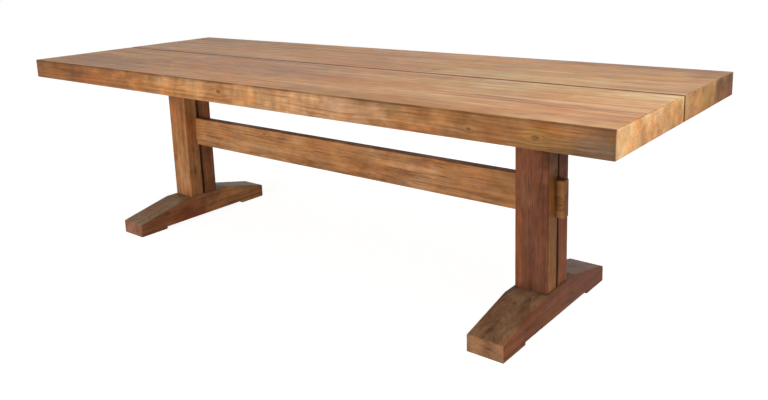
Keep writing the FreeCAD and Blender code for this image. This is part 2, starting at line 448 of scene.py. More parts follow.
class NodeSheet:
    """Adds shader nodes to one material or world and wires them."""

    def __init__(self, owner):
        owner.use_nodes = True
        self.owner = owner
        self.tree = owner.node_tree
        self.tree.nodes.clear()

    def add(self, kind, inputs, **settings):
        """A node with its settings, and each input either wired or set."""
        node = self.tree.nodes.new(kind)
        for key, value in settings.items():
            setattr(node, key, value)
        for key, value in inputs.items():
            socket = node.inputs[key]
            if isinstance(value, bpy.types.NodeSocket):
                self.tree.links.new(value, socket)
            else:
                socket.default_value = value
        return node

    def place(self):
        """Where a point is, in metres."""
        return self.add("ShaderNodeTexCoord", {}).outputs["Object"]

    def math(self, operation, first, second=0.0, third=0.0):
        """A sum on numbers."""
        inputs = {0: first, 1: second, 2: third}
        return self.add("ShaderNodeMath", inputs, operation=operation).outputs[0]

    def product(self, first, *others):
        """Numbers multiplied together."""
        for other in others:
            first = self.math("MULTIPLY", first, other)
        return first

    def weigh(self, *parts):
        """A weighted sum of (value, weight) parts."""
        total = 0.0
        for value, weight in parts:
            total = self.math("MULTIPLY_ADD", value, weight, total)
        return total

    def vector(self, operation, first, second=(0.0, 0.0, 0.0)):
        """A sum on vectors."""
        node = self.add("ShaderNodeVectorMath", {0: first, 1: second}, operation=operation)
        return node.outputs["Value" if operation in ("LENGTH", "DOT_PRODUCT") else "Vector"]

    def noise(self, place, scale=1.0, detail=2.0, roughness=0.5, output="Fac"):
        """Cloudy noise at a place."""
        inputs = {"Vector": place, "Scale": scale, "Detail": detail, "Roughness": roughness}
        return self.add("ShaderNodeTexNoise", inputs).outputs[output]

    def line_noise(self, distance, detail, roughness):
        """Noise along one number, for layers of uneven width."""
        inputs = {"W": distance, "Scale": 1.0, "Detail": detail, "Roughness": roughness}
        return self.add("ShaderNodeTexNoise", inputs, noise_dimensions="1D").outputs["Fac"]

    def step(self, value, start, end, low=0.0, high=1.0):
        """A smooth step from low to high as a value goes from start to end."""
        inputs = {"Value": value, "From Min": start, "From Max": end, "To Min": low, "To Max": high}
        node = self.add("ShaderNodeMapRange", inputs, interpolation_type="SMOOTHSTEP")
        return node.outputs["Result"]

    def looking(self, direction, low=0.0, high=1.0):
        """A step from low to high as a face turns to look along a direction, either way."""
        normal = self.add("ShaderNodeNewGeometry", {}).outputs["Normal"]
        turn = self.math("ABSOLUTE", self.vector("DOT_PRODUCT", normal, direction))
        return self.step(turn, *FACE_TURN, low, high)

    def mix(self, share, first, second, blend="MIX"):
        """Two colours mixed."""
        inputs = {0: share, 6: as_colour(first), 7: as_colour(second)}
        return self.add("ShaderNodeMix", inputs, data_type="RGBA", blend_type=blend).outputs[2]

    def combine(self, red, green, blue):
        """A colour from its three parts."""
        inputs = {"Red": red, "Green": green, "Blue": blue}
        return self.add("ShaderNodeCombineColor", inputs).outputs["Color"]

    def attribute(self, name):
        """A number kept on the piece's vertices."""
        return self.add("ShaderNodeAttribute", {}, attribute_name=name).outputs["Fac"]

    def finish(self, colour, rough, height, strength, distance, sockets):
        """The finished surface: colour, roughness and bump, and other sockets by their names."""
        relief = {"Height": height, "Strength": strength, "Distance": distance}
        bump = self.add("ShaderNodeBump", relief).outputs["Normal"]
        inputs = {"Base Color": colour, "Roughness": rough, "Normal": bump, **sockets}
        shader = self.add("ShaderNodeBsdfPrincipled", inputs)
        self.add("ShaderNodeOutputMaterial", {"Surface": shader.outputs["BSDF"]})
        return self.owner


HALF = (0.5, 0.5, 0.5)
# Turns that bring each axis of the grain to X, and the shift from one seed to the next.
TURNS = {
    "X": (0.0, 0.0, 0.0),
    "Y": (0.0, 0.0, -math.pi / 2),
    "Z": (0.0, math.pi / 2, 0.0),
}
SEED_DRIFT = (3.7, 1.3, 2.1)
# Cloudy layers of the wood: scale along the grain, scale across it, detail and roughness.
LAYERS = {
    "sway": (0.8, 5.0, 3.0, 0.5),
    "streaks": (1.1, 42.0, 5.0, 0.68),
    "stripes": (2.2, 40.0, 2.0, 0.5),
    "fine": (6.0, 430.0, 3.0, 0.6),
    "pores": (24.0, 1300.0, 1.0, 0.5),
    "flecks": (11.0, 240.0, 1.0, 0.5),
    "clouds": (1.5, 6.0, 3.0, 0.55),
    "mottle": (9.0, 15.0, 3.0, 0.6),
    "bands": (28.0, 10.0, 3.0, 0.6),
    "boldness": (1.2, 9.0, 2.0, 0.5),
    "warmth": (2.6, 8.0, 3.0, 0.5),
    "blotch": (13.0, 26.0, 3.0, 0.6),
}
# Smooth steps: where a value starts and ends, and the low and high that it is brought to.
STEPS = {
    "mid": (0.38, 0.51),
    "light": (0.50, 0.62),
    "warmth": (0.46, 0.70, 0.0, 0.7),
    "tint_fade": (1.1, 0.35),
    "patina": (0.25, 0.75, 0.84, 1.16),
    "patina_red": (0.25, 0.75, 0.93, 1.07),
    "patina_blue": (0.25, 0.75, 1.12, 0.88),
    "bands": (0.3, 0.7),
    "late": (1.0, 0.90),
    "boldness": (0.35, 0.65, 0.10, 0.42),
    "stripes": (0.57, 0.66, 0.0, -0.17),
    "fine": (0.25, 0.75, 0.86, 1.12),
    "pores": (0.62, 0.72, 1.0, 0.80),
    "flecks": (0.62, 0.70, 1.0, 0.66),
    "knot_rings": (0.35, 0.65, 0.2, 0.75),
    "fine_rough": (0.2, 0.8, 0.42, 0.56),
    "cloud_rough": (0.3, 0.7, -0.05, 0.05),
    "pore_relief": (0.62, 0.72, 0.0, 0.4),
    "fleck_relief": (0.64, 0.74, 0.0, 0.6),
}
# Knots, in shares of their size: raggedness, where the grain bends and where the edge lies.
KNOT_RAGGED = 0.6
KNOT_BEND = (4.5, 0.3)
KNOT_EDGE = (1.35, 0.75)
# Share that distances along the grain count, so that knots are drawn out.
KNOT_SQUASH = 0.55
# Sway of the grain in metres, and scales of the layers and rings about the heart.
SWAY = 0.05
GROWTH_SCALE = 120.0
RING_SCALE = 150.0
# Cosines at which a face starts to look along a direction, and does so fully.
FACE_TURN = (0.55, 0.9)
# Shares of the dark tone in knots, dirt and painted shade, in open checks, and on arrises darkened as
# painted shade.
DARK_MARK_TONE = 0.3
CHECK_TONE = 0.25
DARK_ARRIS_TONE = 0.55


def deeper(colour, share):
    """A share of a colour's light."""
    return [part * share for part in colour]


def layer(sheet, place, name, output="Fac"):
    """One of the wood's cloudy layers, drawn out along the grain."""
    along, across, detail, roughness = LAYERS[name]
    stretched = sheet.vector("MULTIPLY", place, (along, across, across))
    return sheet.noise(stretched, detail=detail, roughness=roughness, output=output)


def bend_round_knots(sheet, place, grain, knots):
    """Bends the grain round each (centre, size) knot.
    Returns the bent place and how far inside a knot it is."""
    squash = [KNOT_SQUASH if axis == grain else 1.0 for axis in "XYZ"]
    ragged = sheet.noise(place, scale=60.0)
    bent = place
    inside = 0.0
    for centre, size in knots:
        away = sheet.vector("MULTIPLY", sheet.vector("SUBTRACT", place, centre), squash)
        distance = sheet.math("MULTIPLY_ADD", ragged, size * KNOT_RAGGED, sheet.vector("LENGTH", away))
        bend = [size * share for share in KNOT_BEND]
        edge = [size * share for share in KNOT_EDGE]
        reach = sheet.step(distance, *bend, 0.0, size)
        slide = {0: sheet.vector("NORMALIZE", away), "Scale": reach}
        moved = sheet.add("ShaderNodeVectorMath", slide, operation="SCALE").outputs[0]
        bent = sheet.vector("SUBTRACT", bent, moved)
        inside = sheet.math("MAXIMUM", inside, sheet.step(distance, *edge))
    return bent, inside


def tinted(sheet, place, colour, tints):
    """Multiplies the colour by a tint inside each (centre, radii, tint) patch with a ragged edge."""
    cloud = sheet.noise(place, scale=13.0, detail=4.0, output="Color")
    ragged = sheet.vector("MULTIPLY", sheet.vector("SUBTRACT", cloud, HALF), (1.6, 1.6, 1.6))
    for centre, radii, tint in tints:
        away = sheet.vector("DIVIDE", sheet.vector("SUBTRACT", place, centre), radii)
        distance = sheet.vector("LENGTH", sheet.vector("ADD", away, ragged))
        inside = sheet.step(distance, *STEPS["tint_fade"])
        colour = sheet.mix(inside, colour, sheet.mix(1.0, colour, tint, "MULTIPLY"))
    return colour


def toned(sheet, tones, depth, warmth):
    """Dark to light wood by depth, with its warm patches."""
    colour = sheet.mix(sheet.step(depth, *STEPS["mid"]), tones.dark, tones.mid)
    colour = sheet.mix(sheet.step(depth, *STEPS["light"]), colour, tones.light)
    return sheet.mix(warmth, colour, tones.warm)


def patina(sheet, drift):
    """Blotches of age, lighter or darker, and redder or greyer."""
    blotch = layer(sheet, drift, "blotch", "Color")
    parts = sheet.add("ShaderNodeSeparateColor", {"Color": blotch}).outputs
    light = sheet.step(parts["Red"], *STEPS["patina"])
    red = sheet.product(light, sheet.step(parts["Green"], *STEPS["patina_red"]))
    blue = sheet.product(light, sheet.step(parts["Green"], *STEPS["patina_blue"]))
    return sheet.combine(red, light, blue)


def cross_figure(sheet, along, drift, flank, ripple):
    """The light of the cross figure on the sides, for a (strength, middle, reach) along the grain."""
    strength, middle, reach = ripple
    away = sheet.math("ABSOLUTE", sheet.math("SUBTRACT", along, middle))
    where = sheet.product(flank, sheet.step(away, reach, reach * 0.5))
    bands = sheet.step(layer(sheet, drift, "bands"), *STEPS["bands"], -strength, strength)
    return sheet.math("ADD", sheet.product(where, bands), 1.0)


def wood(
    name, tones, grain, seed, pith, knots=(), tints=(), side=Y, side_tints=(), end_tints=(),
    ripple=None, arris_wear_and_shade=0.0, second=None, gloss=0.07, calm=0.0,
):
    """Old oiled wood with its grain along one axis.
    pith is where the heart of the tree lies, across the grain.
    side_tints show on the faces that look along side, and end_tints on the ends of the grain.
    ripple is (strength, middle, reach) of the cross figure on the sides, along the grain.
    arris_wear_and_shade is how much the arrises are rubbed light by wear, or darkened as painted shade
    where it is below nought.
    second is (tones, direction, start, end): other wood past a place along a direction.
    calm is the share of the blotches that level faces lack, and strengthens their streaks."""
    sheet = NodeSheet(bpy.data.materials.new(name))
    place = sheet.place()
    bent, knot = bend_round_knots(sheet, place, grain, knots)
    turn = {"Vector": bent, "Rotation": TURNS[grain]}
    turned = sheet.add("ShaderNodeMapping", turn).outputs["Vector"]
    drift = sheet.vector("ADD", turned, [seed * part for part in SEED_DRIFT])
    end = sheet.looking(AXES[grain])
    flank = sheet.looking(side)
    level = sheet.looking(Z, 1.0, 1.0 - calm)
    calmed = sheet.math("SUBTRACT", 1.0, level)

    sway = sheet.vector("SUBTRACT", layer(sheet, drift, "sway", "Color"), HALF)
    sway = sheet.vector("MULTIPLY", sway, (0.0, SWAY, SWAY))
    swayed = sheet.vector("ADD", drift, sway)
    out = sheet.vector("SUBTRACT", sheet.vector("ADD", turned, sway), (0.0, *pith))
    radius = sheet.vector("LENGTH", sheet.vector("MULTIPLY", out, (0.0, 1.0, 1.0)))

    growth = sheet.line_noise(sheet.product(radius, GROWTH_SCALE), 3.0, 0.6)
    streaks = layer(sheet, swayed, "streaks")
    stripes = layer(sheet, swayed, "stripes")
    fine = layer(sheet, swayed, "fine")
    pores = layer(sheet, swayed, "pores")
    flecks = layer(sheet, swayed, "flecks")
    clouds = layer(sheet, drift, "clouds")
    mottle = layer(sheet, drift, "mottle")

    patches = sheet.math("MULTIPLY_ADD", calmed, sheet.math("SUBTRACT", streaks, mottle), mottle)
    along = sheet.weigh((streaks, 0.36), (growth, 0.16), (clouds, 0.20), (patches, 0.28))
    across = sheet.weigh((mottle, 0.45), (growth, 0.08), (clouds, 0.20), (1.0, 0.145))
    depth = sheet.math("MULTIPLY_ADD", end, sheet.math("SUBTRACT", across, along), along)
    contrast = sheet.math("MULTIPLY_ADD", calmed, 0.4, 1.0)
    depth = sheet.math("MULTIPLY_ADD", sheet.math("SUBTRACT", depth, 0.5), contrast, 0.5)
    warmth = sheet.step(layer(sheet, drift, "warmth"), *STEPS["warmth"])

    colour = toned(sheet, tones, depth, warmth)
    if second is not None:
        other, direction, start, stop = second
        edge = sheet.vector("DOT_PRODUCT", place, direction)
        edge = sheet.math("MULTIPLY_ADD", streaks, 0.03, edge)
        other_colour = toned(sheet, other, depth, warmth)
        colour = sheet.mix(sheet.step(edge, start, stop), colour, other_colour)
    colour = tinted(sheet, place, colour, tints)
    if side_tints:
        colour = sheet.mix(flank, colour, tinted(sheet, place, colour, side_tints))
    if end_tints:
        colour = sheet.mix(end, colour, tinted(sheet, place, colour, end_tints))
    colour = sheet.mix(level, colour, patina(sheet, drift), "MULTIPLY")

    ring = sheet.math("FRACT", sheet.weigh((radius, RING_SCALE), (clouds, 2.0)))
    late = sheet.product(sheet.math("POWER", ring, 3.0), sheet.step(ring, *STEPS["late"]))
    bold = sheet.step(layer(sheet, drift, "boldness"), *STEPS["boldness"])
    bold = sheet.product(bold, sheet.math("MULTIPLY_ADD", end, -0.6, 1.0))
    stripe = sheet.product(sheet.step(stripes, *STEPS["stripes"]), sheet.math("SUBTRACT", 1.0, end))
    light = sheet.product(
        sheet.step(fine, *STEPS["fine"]),
        sheet.step(pores, *STEPS["pores"]),
        sheet.step(flecks, *STEPS["flecks"]),
        sheet.math("SUBTRACT", 1.07, sheet.product(late, bold)),
        sheet.math("ADD", stripe, 1.0),
    )
    if ripple:
        reached = sheet.vector("DOT_PRODUCT", place, AXES[grain])
        light = sheet.product(light, cross_figure(sheet, reached, drift, flank, ripple))
    colour = sheet.mix(1.0, colour, sheet.combine(light, light, light), "MULTIPLY")

    knot_rings = sheet.step(sheet.noise(place, scale=240.0, detail=1.0), *STEPS["knot_rings"])
    # Dark of knots, and of dirt with painted shade.
    dark_mark = deeper(tones.dark, DARK_MARK_TONE)
    colour = sheet.mix(sheet.product(knot, knot_rings), colour, dark_mark)
    # Arrises rubbed light by wear, or darkened as a painted shadow line.
    arris_colour = tones.light if arris_wear_and_shade > 0 else deeper(tones.dark, DARK_ARRIS_TONE)
    marks = (
        ("check", 0.05, 0.6, 0.85, deeper(tones.dark, CHECK_TONE)),
        ("worn", 0.25, 0.9, abs(arris_wear_and_shade), arris_colour),
        ("dirt_and_shade", 0.0, 1.0, 0.85, dark_mark),
    )
    for kind, start, stop, most, mark in marks:
        colour = sheet.mix(sheet.step(sheet.attribute(kind), start, stop, 0.0, most), colour, mark)

    rough = sheet.math("MULTIPLY_ADD", end, 0.12, sheet.step(fine, *STEPS["fine_rough"]))
    rough = sheet.math("ADD", rough, sheet.step(clouds, *STEPS["cloud_rough"]))
    relief = sheet.weigh((fine, 0.5), (growth, 0.35), (streaks, 0.4))
    relief = sheet.math("SUBTRACT", relief, sheet.step(pores, *STEPS["pore_relief"]))
    relief = sheet.math("SUBTRACT", relief, sheet.step(flecks, *STEPS["fleck_relief"]))
    return sheet.finish(colour, rough, relief, 0.4, 0.0007, {"Specular IOR Level": gloss})


# Scales of the dowels' grain and of the turning marks on steel.
DOWEL_GRAIN = (900.0, 14.0, 900.0)
TURNING_MARKS = (240.0, 240.0, 3200.0)


def dowel_wood(name, colour, seed):
    """Plain turned wood with a fine straight grain."""
    sheet = NodeSheet(bpy.data.materials.new(name))
    drift = sheet.vector("ADD", sheet.place(), (seed, seed * 0.3, seed * 0.6))
    grain = sheet.noise(sheet.vector("MULTIPLY", drift, DOWEL_GRAIN), detail=3.0)
    base = sheet.mix(sheet.step(grain, 0.3, 0.7), deeper(colour, 0.7), colour)
    rough = sheet.step(grain, 0.2, 0.8, 0.55, 0.7)
    return sheet.finish(base, rough, grain, 0.3, 0.0002, {})


def steel(name, bright, dull, seed):
    """Zinc-plated steel with dull blotches and fine turning marks."""
    sheet = NodeSheet(bpy.data.materials.new(name))
    drift = sheet.vector("ADD", sheet.place(), (seed, seed * 0.7, seed * 1.9))
    blotch = sheet.noise(drift, scale=160.0, detail=4.0, roughness=0.65)
    marks = sheet.noise(sheet.vector("MULTIPLY", drift, TURNING_MARKS))
    colour = sheet.mix(sheet.step(blotch, 0.4, 0.65), bright, dull)
    rough = sheet.step(blotch, 0.3, 0.7, 0.28, 0.46)
    rough = sheet.math("ADD", rough, sheet.step(marks, 0.3, 0.7, 0.0, 0.08))
    return sheet.finish(colour, rough, marks, 0.25, 0.0001, {"Metallic": 1.0})


TOP_LEVEL = cad_box[1].z
FRONT_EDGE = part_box("top_plank_front")[0].y
RIGHT_END = cad_box[1].x
EVERYWHERE = (9.0, 9.0, 9.0)
# How deep the tinted patches go.
FACE_TINT_DEPTH = 0.06
EDGE_TINT_DEPTH = 0.10


def tint_on_top(x, y, length, width, *tint):
    """A tinted patch on the upper face of the top."""
    return (x, y, TOP_LEVEL), (length, width, FACE_TINT_DEPTH), tint


def tint_on_edge(x, z, length, height, *tint):
    """A tinted patch on the front edge of the top."""
    return (x, FRONT_EDGE, z), (length, EDGE_TINT_DEPTH, height), tint


def tint_on_end(y, z, width, height, *tint):
    """A tinted patch on the right end of the top."""
    return (RIGHT_END, y, z), (EDGE_TINT_DEPTH, width, height), tint


PLANK_KNOTS = {
    "front": (
        ((1.142, FRONT_EDGE, 0.734), 0.008),
        ((0.945, FRONT_EDGE, 0.733), 0.006),
        ((-0.081, FRONT_EDGE, 0.745), 0.010),
        ((-0.62, -0.30, TOP_LEVEL), 0.007),
    ),
    "rear": (
        ((0.30, 0.33, TOP_LEVEL), 0.008),
        ((RIGHT_END, 0.375, 0.742), 0.012),
    ),
}
PLANK_TINTS = {
    "front": (
        tint_on_top(0.70, -0.46, 0.56, 0.07, 0.76, 0.73, 0.66),
        tint_on_top(-1.03, -0.36, 0.50, 0.20, 0.70, 0.69, 0.69),
        tint_on_top(-0.10, -0.25, 0.80, 0.14, 0.86, 0.83, 0.82),
        tint_on_top(-0.13, -0.08, 0.60, 0.09, 0.87, 0.83, 0.84),
        # The next three: painted highlight, paler near the right just in front of the joint.
        tint_on_top(0.85, -0.15, 0.40, 0.12, 0.91, 1.02, 1.05),
        tint_on_top(1.06, -0.065, 0.56, 0.11, 1.12, 1.36, 1.54),
        tint_on_top(1.26, -0.16, 0.24, 0.24, 1.16, 1.24, 1.28),
    ),
    "rear": (
        tint_on_top(0.85, 0.20, 0.80, 0.24, 0.95, 1.05, 1.06),
        tint_on_top(0.84, 0.09, 0.38, 0.09, 1.03, 1.20, 1.34),
        tint_on_top(1.15, 0.46, 0.50, 0.05, 0.62, 0.60, 0.62),
        tint_on_top(1.31, 0.40, 0.11, 0.10, 0.72, 0.70, 0.62),
        tint_on_top(-1.05, 0.42, 0.45, 0.12, 0.84, 0.88, 0.90),
    ),
}
SIDE_TINTS = (
    # Painted shade: the planks' front and back edges darker all over than the top.
    ((0.0, 0.0, 0.74), EVERYWHERE, (0.68, 0.63, 0.52)),
    tint_on_edge(0.14, 0.741, 0.84, 0.12, 1.66, 1.80, 2.16),
    tint_on_edge(-0.45, 0.725, 0.40, 0.06, 1.16, 1.08, 0.96),
    tint_on_edge(-1.25, 0.741, 0.35, 0.10, 0.95, 0.80, 0.62),
    tint_on_edge(-0.88, 0.745, 0.20, 0.08, 1.20, 0.98, 0.70),
    tint_on_edge(-0.08, 0.745, 0.12, 0.08, 0.84, 0.79, 0.68),
    tint_on_edge(1.27, 0.764, 0.22, 0.03, 1.02, 0.86, 0.74),
    tint_on_edge(1.28, 0.720, 0.20, 0.05, 0.66, 0.74, 1.02),
    tint_on_edge(0.96, 0.740, 0.20, 0.06, 0.92, 0.95, 1.02),
    tint_on_edge(0.46, 0.750, 0.28, 0.07, 1.07, 1.13, 1.34),
    tint_on_edge(0.87, 0.748, 0.14, 0.06, 0.98, 0.97, 0.88),
    tint_on_edge(0.78, 0.716, 0.10, 0.03, 0.90, 0.80, 0.74),
    tint_on_edge(1.17, 0.738, 0.09, 0.06, 1.16, 1.04, 0.62),
)
END_TINTS = {
    "front": (
        # Painted light: the front plank's right end brightened all over.
        ((RIGHT_END, -0.25, 0.74), EVERYWHERE, (1.56, 1.74, 1.86)),
        tint_on_end(-0.23, 0.738, 0.09, 0.06, 0.94, 0.82, 0.70),
        tint_on_end(-0.10, 0.765, 0.09, 0.04, 0.94, 0.80, 0.62),
        tint_on_end(-0.44, 0.740, 0.10, 0.08, 1.18, 1.28, 1.30),
        tint_on_end(-0.08, 0.740, 0.10, 0.08, 0.80, 0.72, 0.66),
    ),
    "rear": (
        tint_on_end(0.08, 0.740, 0.12, 0.09, 1.20, 1.13, 0.92),
        tint_on_end(0.22, 0.740, 0.07, 0.07, 0.88, 0.90, 0.64),
        tint_on_end(0.34, 0.740, 0.055, 0.14, 0.44, 0.34, 0.24),
        tint_on_end(0.45, 0.740, 0.095, 0.14, 0.42, 0.36, 0.33),
    ),
}
PLANK_RIPPLE = (0.16, 0.12, 0.42)
# Dirt and painted shade as (most, reach), and how far below the arris the painted shadow line lies.
# Dirt in the joint, with the painted shade of the gap.
JOINT_DIRT_AND_SHADE = (1.4, 0.010)
JOINT_END_DIRT_AND_SHADE = (1.4, 0.003)
# Painted shadow line under the outer arris.
ARRIS_SHADE = (1.4, 0.006)
ARRIS_SHADE_DROP = 0.0035
# Darker towards the ends of the outer edges.
END_DARKENING = (0.7, 0.018)
# Nearer to a plank's end or edge than this is on it.
ON_FACE = 0.003


def plank_dirt_and_shade(low, high):
    """Dirt and painted shade on a plank: in the joint, a painted shadow line under the outer arris, and
    darker near the corners at the ends.
    """
    joint, outer = sorted((low.y, high.y), key=abs)

    def dirt_and_shade_at(place):
        from_end = high.x - abs(place.x)
        if abs(place.y - outer) > ON_FACE:
            dark_spread = JOINT_END_DIRT_AND_SHADE if from_end < ON_FACE else JOINT_DIRT_AND_SHADE
            return dirt_and_shade_falloff(place.y - joint, dark_spread)
        under_arris = dirt_and_shade_falloff(place.z - high.z + ARRIS_SHADE_DROP, ARRIS_SHADE)
        return max(under_arris, dirt_and_shade_falloff(from_end, END_DARKENING))

    return dirt_and_shade_at


class TABLE_OT_top_planks(bpy.types.Operator):
    """Make the two thick planks of the top"""

    bl_idname = "table.top_planks"
    bl_label = "Top planks"

    def execute(self, context):
        settings = context.scene.table_timber
        tones = context.scene.table_plank_tones
        for seed, row in enumerate(ROWS, start=SEEDS["plank"]):
            node = "top_plank_" + row
            low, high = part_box(node)
            bm = timber_block(low, high)
            refine(bm, settings.grid)
            ease(bm, arrises(bm), settings.plank_round)
            open_checks(bm, seed, settings.plank_checks, Z, X, low, high, settings)
            weather(bm, X, seed, settings, plank_dirt_and_shade(low, high))
            pith = (ROWS[row] * 0.22, 0.58)
            material = wood(
                row + "_plank_wood", tones, "X", seed, pith, PLANK_KNOTS[row], PLANK_TINTS[row],
                side_tints=SIDE_TINTS, end_tints=END_TINTS[row], ripple=PLANK_RIPPLE,
                # Arrises darkened: a painted shadow line along the plank edges.
                arris_wear_and_shade=-0.6, gloss=0.15, calm=0.6,
            )
            make_piece("plank_" + row, bm, material, node)
        return {"FINISHED"}


STRETCHER_KNOTS = (
    ((-0.384, -0.019, 0.459), 0.007),
    ((0.195, -0.019, 0.372), 0.006),
    ((0.61, 0.019, 0.42), 0.009),
)
STRETCHER_TINTS = (
    # Painted shade: the stretcher's stub past the right-hand post darker.
    ((0.99, 0.0, 0.415), (0.05, 0.10, 0.20), (0.65, 0.62, 0.57)),
    ((-0.55, 0.0, 0.415), (0.60, 0.10, 0.12), (1.16, 1.24, 1.30)),
    ((0.38, 0.0, 0.415), (0.18, 0.10, 0.12), (1.24, 1.38, 1.62)),
    ((0.80, 0.0, 0.455), (0.10, 0.10, 0.06), (0.76, 0.76, 0.70)),
)
# Painted shade on the stretcher's upper face, and dirt with painted shade where it meets the posts.
BOARD_TOP_SHADE = (0.85, 0.004)
BOARD_POST_DIRT_AND_SHADE = (0.7, 0.012)


class TABLE_OT_stretcher(bpy.types.Operator):
    """Make the board between the trestles"""

    bl_idname = "table.stretcher"
    bl_label = "Stretcher"

    def execute(self, context):
        settings = context.scene.table_timber
        tones = context.scene.table_stretcher_tones
        low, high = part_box("stretcher")
        faces = [corner.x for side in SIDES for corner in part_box(f"post_{side}_front")]
        by_posts = [(X, face, BOARD_POST_DIRT_AND_SHADE) for face in faces]
        dirt_and_shade_at = dirt_and_shade_along((Z, high.z, BOARD_TOP_SHADE), *by_posts)
        bm = timber_block(low, high)
        refine(bm, settings.grid)
        ease(bm, arrises(bm), settings.beam_round)
        for seed, normal in enumerate((-Y, Y), start=SEEDS["stretcher"]):
            open_checks(bm, seed, settings.board_checks, normal, X, low, high, settings)
        weather(bm, X, SEEDS["stretcher"], settings, dirt_and_shade_at)
        material = wood(
            "stretcher_wood", tones, "X", SEEDS["stretcher"], pith=(0.12, 0.36),
            knots=STRETCHER_KNOTS, tints=STRETCHER_TINTS, arris_wear_and_shade=0.25,
        )
        make_piece("stretcher_board", bm, material, "stretcher")
        return {"FINISHED"}


# Smaller level faces are the ledges of a post's notch.
LEDGE_AREA = 0.006
# Share of half a post's width past which an edge is at its corner.
CORNER_SHARE = 0.95


def post_bmesh(node, settings):
    """One post: an outline with the stretcher's notch, extruded, with a tenon on each end."""
    low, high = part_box(node)
    side = node.split("_")[1]
    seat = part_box("foot_" + side)[1].z
    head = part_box("bearer_" + side)[0].z
    board_low, board_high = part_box("stretcher")
    inner, outer = sorted((low.y, high.y), key=abs)
    notch = math.copysign(board_high.y + settings.fit, inner)
    notch_top = board_high.z + settings.fit
    outline = [
        (outer, seat), (inner, seat), (inner, board_low.z), (notch, board_low.z),
        (notch, notch_top), (inner, notch_top), (inner, head), (outer, head),
    ]
    bm = timber_from_outline(outline, low.x, high.x - low.x)
    for normal, reach in ((Z, high.z - head), (-Z, seat - low.z)):
        level = [face for face in bm.faces if face.normal.dot(normal) > SAME_WAY]
        end = [face for face in level if face.calc_area() > LEDGE_AREA]
        bmesh.ops.inset_individual(bm, faces=end, thickness=settings.tenon_shoulder)
        push(bm, end, normal * reach)
    slice_at(bm, Z, (board_low.z, notch_top))
    slice_at(bm, Y, (notch,))
    refine(bm, settings.grid)
    half = (high.x - low.x) / 2
    upright = []
    for edge in arrises(bm):
        first, second = (vert.co for vert in edge.verts)
        between = all(seat - TOUCH < end.z < head + TOUCH for end in (first, second))
        on_side = abs(first.x - low.x - half) > CORNER_SHARE * half
        at_corner = min(abs(first.y - inner), abs(first.y - outer)) < TOUCH
        if between and on_side and at_corner and abs(second.z - first.z) > ROW_TOUCH:
            upright.append(edge)
    ease(bm, upright, settings.beam_round)
    return bm


POST_TINTS = {
    ("left", "front"): (
        # Painted shade under the top, at the head of the post.
        ((-0.912, -0.05, 0.64), (0.20, 0.10, 0.16), (0.74, 0.82, 0.92)),
        ((-0.912, -0.05, 0.14), (0.20, 0.10, 0.18), (1.20, 1.32, 1.46)),
    ),
    # Painted shade: the whole left rear post darker.
    ("left", "rear"): (((-0.912, 0.04, 0.38), EVERYWHERE, (0.78, 0.74, 0.86)),),
    ("right", "front"): (
        ((0.867, -0.072, 0.22), (0.016, 0.03, 0.22), (1.68, 1.48, 1.12)),
        ((0.97, -0.02, 0.38), (0.06, 0.06, 0.60), (0.70, 0.62, 0.36)),
        # Painted shade under the top, at the head of the post's outer side.
        ((0.97, -0.03, 0.60), (0.06, 0.10, 0.16), (0.30, 0.29, 0.22)),
    ),
    ("right", "rear"): (
        ((0.912, 0.04, 0.38), EVERYWHERE, (1.32, 1.06, 0.66)),
        # Painted shade above the stretcher's stub, under the top.
        ((0.97, 0.04, 0.60), (0.06, 0.10, 0.16), (0.34, 0.33, 0.28)),
    ),
}
# Where the right front post turns pale, behind its front face.
PALE_START = 0.02
PALE_END = 0.035
# Dirt with painted shade at the foot of a post and in the gap between the twin posts.
POST_FOOT_DIRT_AND_SHADE = (0.35, 0.03)
POST_JOINT_DIRT_AND_SHADE = (1.5, 0.006)


class TABLE_OT_posts(bpy.types.Operator):
    """Make the twin posts of both trestles"""

    bl_idname = "table.posts"
    bl_label = "Posts"

    def execute(self, context):
        settings = context.scene.table_timber
        pale = context.scene.table_pale_tones
        red = context.scene.table_red_tones
        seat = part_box("foot_left")[1].z
        pairs = itertools.product(SIDES, ROWS)
        for seed, (side, row) in enumerate(pairs, start=SEEDS["post"]):
            node = f"post_{side}_{row}"
            low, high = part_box(node)
            inner = min(low.y, high.y, key=abs)
            bm = post_bmesh(node, settings)
            dirt_and_shade_at = dirt_and_shade_along((Z, seat, POST_FOOT_DIRT_AND_SHADE), (Y, inner, POST_JOINT_DIRT_AND_SHADE))
            weather(bm, Z, seed, settings, dirt_and_shade_at, kept=(Z, -Z))
            second = None
            if (side, row) == ("right", "front"):
                second = (pale, Y, low.y + PALE_START, low.y + PALE_END)
            tones = red if side == "right" else pale
            pith = (ROWS[row] * 0.16, SIDES[side] * 0.9)
            material = wood(
                f"{side}_{row}_post_wood", tones, "Z", seed, pith, tints=POST_TINTS[side, row],
                arris_wear_and_shade=0.25, second=second,
            )
            make_piece(f"{side}_{row}_post", bm, material, node)
        return {"FINISHED"}


# Cuts up a foot's sides, and shares of its width and of its level part round the mortises.
FOOT_CUTS = 8
MOUTH_WIDTH = 0.4
MOUTH_LENGTH = 0.6


